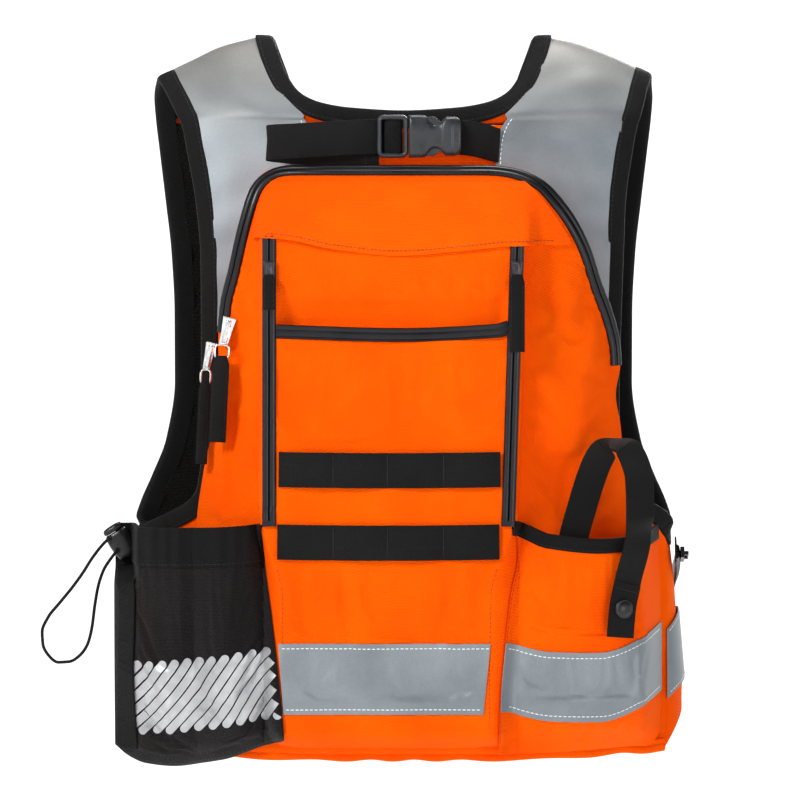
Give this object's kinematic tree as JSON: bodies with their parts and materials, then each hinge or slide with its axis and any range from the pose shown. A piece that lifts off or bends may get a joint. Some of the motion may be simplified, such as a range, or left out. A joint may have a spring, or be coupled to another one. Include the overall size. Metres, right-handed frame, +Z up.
{
  "type": "hi-vis backpack vest",
  "caption": "Blaze orange high-visibility vest with a slim zipped pack, webbing rows, open and mesh pockets, reflective tape, a snap strap and a buckled strap on the wearer's back",
  "frame": {"origin": "middle of the line over the two shoulder tops, where the vest hangs on a body or a hanger", "axes": "the wearer's back faces -Y, +X is to the right of someone looking at that back, +Z is up"},
  "size_m": [0.469, 0.2318, 0.5156],
  "materials": {
    "orange_fabric": "ribbed coated weave",
    "reflective_tape": "silver reflective",
    "webbing": "ribbed webbing",
    "black_fabric": "plain weave",
    "spacer_mesh": "open knit",
    "pocket_mesh": "fine open mesh",
    "coated_zip": "satin coating",
    "black_plastic": "satin",
    "slider_metal": "polished",
    "elastic_cord": "braided"
  },
  "bodies": {
    "vest": {"back_panel": "orange_fabric", "back_lining": "spacer_mesh", "shoulder_left": "orange_fabric", "shoulder_right": "orange_fabric", "front_panel_left": "orange_fabric", "front_panel_right": "orange_fabric", "front_lining_left": "spacer_mesh", "front_lining_right": "spacer_mesh", "side_panel_left": "orange_fabric", "side_panel_right": "orange_fabric", "shoulder_reflective_left": "reflective_tape", "shoulder_reflective_right": "reflective_tape", "waist_reflective_left": "reflective_tape", "waist_reflective_right": "reflective_tape", "neck_binding": "webbing", "armhole_binding_left": "webbing", "armhole_binding_right": "webbing", "pack_body": "orange_fabric", "pack_zip": "coated_zip", "storm_flap": "orange_fabric", "centre_pocket": "orange_fabric", "centre_zip_left": "coated_zip", "centre_zip_right": "coated_zip", "pocket_mouth_band": "coated_zip", "pals_row_upper": "webbing", "pals_row_lower": "webbing", "centre_reflective": "reflective_tape", "right_pocket": "orange_fabric", "right_pocket_binding": "webbing", "right_pocket_reflective": "reflective_tape", "snap_strap_back": "webbing", "snap_stud": "slider_metal", "mesh_pocket": "pocket_mesh", "mesh_pocket_casing": "black_fabric", "mesh_pocket_edge": "webbing", "cord_lock_body": "black_plastic", "cord_lock_spring": "slider_metal", "elastic_loop": "elastic_cord", "buckle_female": "black_plastic", "buckle_male": "black_plastic", "back_strap_right": "webbing", "back_strap_tail": "webbing", "side_zip": "coated_zip", "front_zip": "coated_zip"},
    "pack_upper_slider": {"pack_upper_slider": "slider_metal"},
    "pack_upper_pull": {"pack_upper_pull": "webbing"},
    "pack_lower_slider": {"pack_lower_slider": "slider_metal"},
    "pack_lower_pull": {"pack_lower_pull": "webbing"},
    "centre_left_slider": {"centre_left_slider": "black_plastic"},
    "centre_left_pull": {"centre_left_pull": "webbing"},
    "centre_right_slider": {"centre_right_slider": "black_plastic"},
    "centre_right_pull": {"centre_right_pull": "webbing"},
    "side_zip_slider": {"side_zip_slider": "slider_metal"},
    "front_zip_slider": {"front_zip_slider": "slider_metal"},
    "snap_flap": {"snap_strap_front": "webbing", "snap_cap": "black_plastic", "snap_socket": "slider_metal"},
    "cord_lock_button": {"cord_lock_button": "black_plastic"},
    "latch_upper": {"buckle_latch_upper": "black_plastic"},
    "latch_lower": {"buckle_latch_lower": "black_plastic"}
  },
  "joints": [
    {"name": "pack_upper_slide", "type": "slide", "parent": "vest", "child": "pack_upper_slider", "axis": [0.1793, -0.1048, 0.9782], "range_m": [0, 0.042]},
    {"name": "pack_upper_swing", "type": "hinge", "parent": "pack_upper_slider", "child": "pack_upper_pull", "pos_m": [-0.1295, -0.09695, -0.224], "axis": [-0.9986, 0, 0.0523], "range_deg": [0, 120]},
    {"name": "pack_lower_slide", "type": "slide", "parent": "vest", "child": "pack_lower_slider", "axis": [-0.1, 0, -0.995], "range_m": [0, 0.006]},
    {"name": "pack_lower_swing", "type": "hinge", "parent": "pack_lower_slider", "child": "pack_lower_pull", "pos_m": [-0.1415, -0.08403, -0.2425], "axis": [-0.9986, 0, 0.0523], "range_deg": [0, 120]},
    {"name": "centre_left_slide", "type": "slide", "parent": "vest", "child": "centre_left_slider", "axis": [0, -0.0343, -0.9994], "range_m": [0, 0.168]},
    {"name": "centre_left_swing", "type": "hinge", "parent": "centre_left_slider", "child": "centre_left_pull", "pos_m": [-0.0955, -0.13001, -0.16966], "axis": [-1, 0, 0], "range_deg": [0, 120]},
    {"name": "centre_right_slide", "type": "slide", "parent": "vest", "child": "centre_right_slider", "axis": [-0.0324, -0.0342, -0.9989], "range_m": [0, 0.168]},
    {"name": "centre_right_swing", "type": "hinge", "parent": "centre_right_slider", "child": "centre_right_pull", "pos_m": [0.0805, -0.13001, -0.16966], "axis": [-1, 0, 0], "range_deg": [0, 120]},
    {"name": "side_zip_slide", "type": "slide", "parent": "vest", "child": "side_zip_slider", "axis": [0, 0.9135, -0.4067], "range_m": [0, 0.036]},
    {"name": "front_zip_slide", "type": "slide", "parent": "vest", "child": "front_zip_slider", "axis": [0, 0, -1], "range_m": [0, 0.26]},
    {"name": "snap_lift", "type": "hinge", "parent": "vest", "child": "snap_flap", "pos_m": [0.162, -0.118, -0.297], "axis": [-0.8944, -0.4472, 0], "range_deg": [0, 70]},
    {"name": "cord_lock_press", "type": "slide", "parent": "vest", "child": "cord_lock_button", "axis": [0.5299, 0, -0.848], "range_m": [0, 0.0035], "stiffness_N_per_m": 250, "deforming": ["cord_lock_spring"]},
    {"name": "latch_upper_squeeze", "type": "hinge", "parent": "vest", "child": "latch_upper", "pos_m": [0.005, -0.082, -0.0645], "axis": [0, 1, 0], "range_deg": [0, 12], "stiffness_Nm_per_rad": 0.05},
    {"name": "latch_lower_squeeze", "type": "hinge", "parent": "vest", "child": "latch_lower", "pos_m": [0.005, -0.082, -0.0825], "axis": [0, 1, 0], "range_deg": [-12, 0], "stiffness_Nm_per_rad": 0.05}
  ],
  "couplings": [
    {"joint": "latch_lower_squeeze", "follows": "latch_upper_squeeze", "ratio": -1}
  ]
}
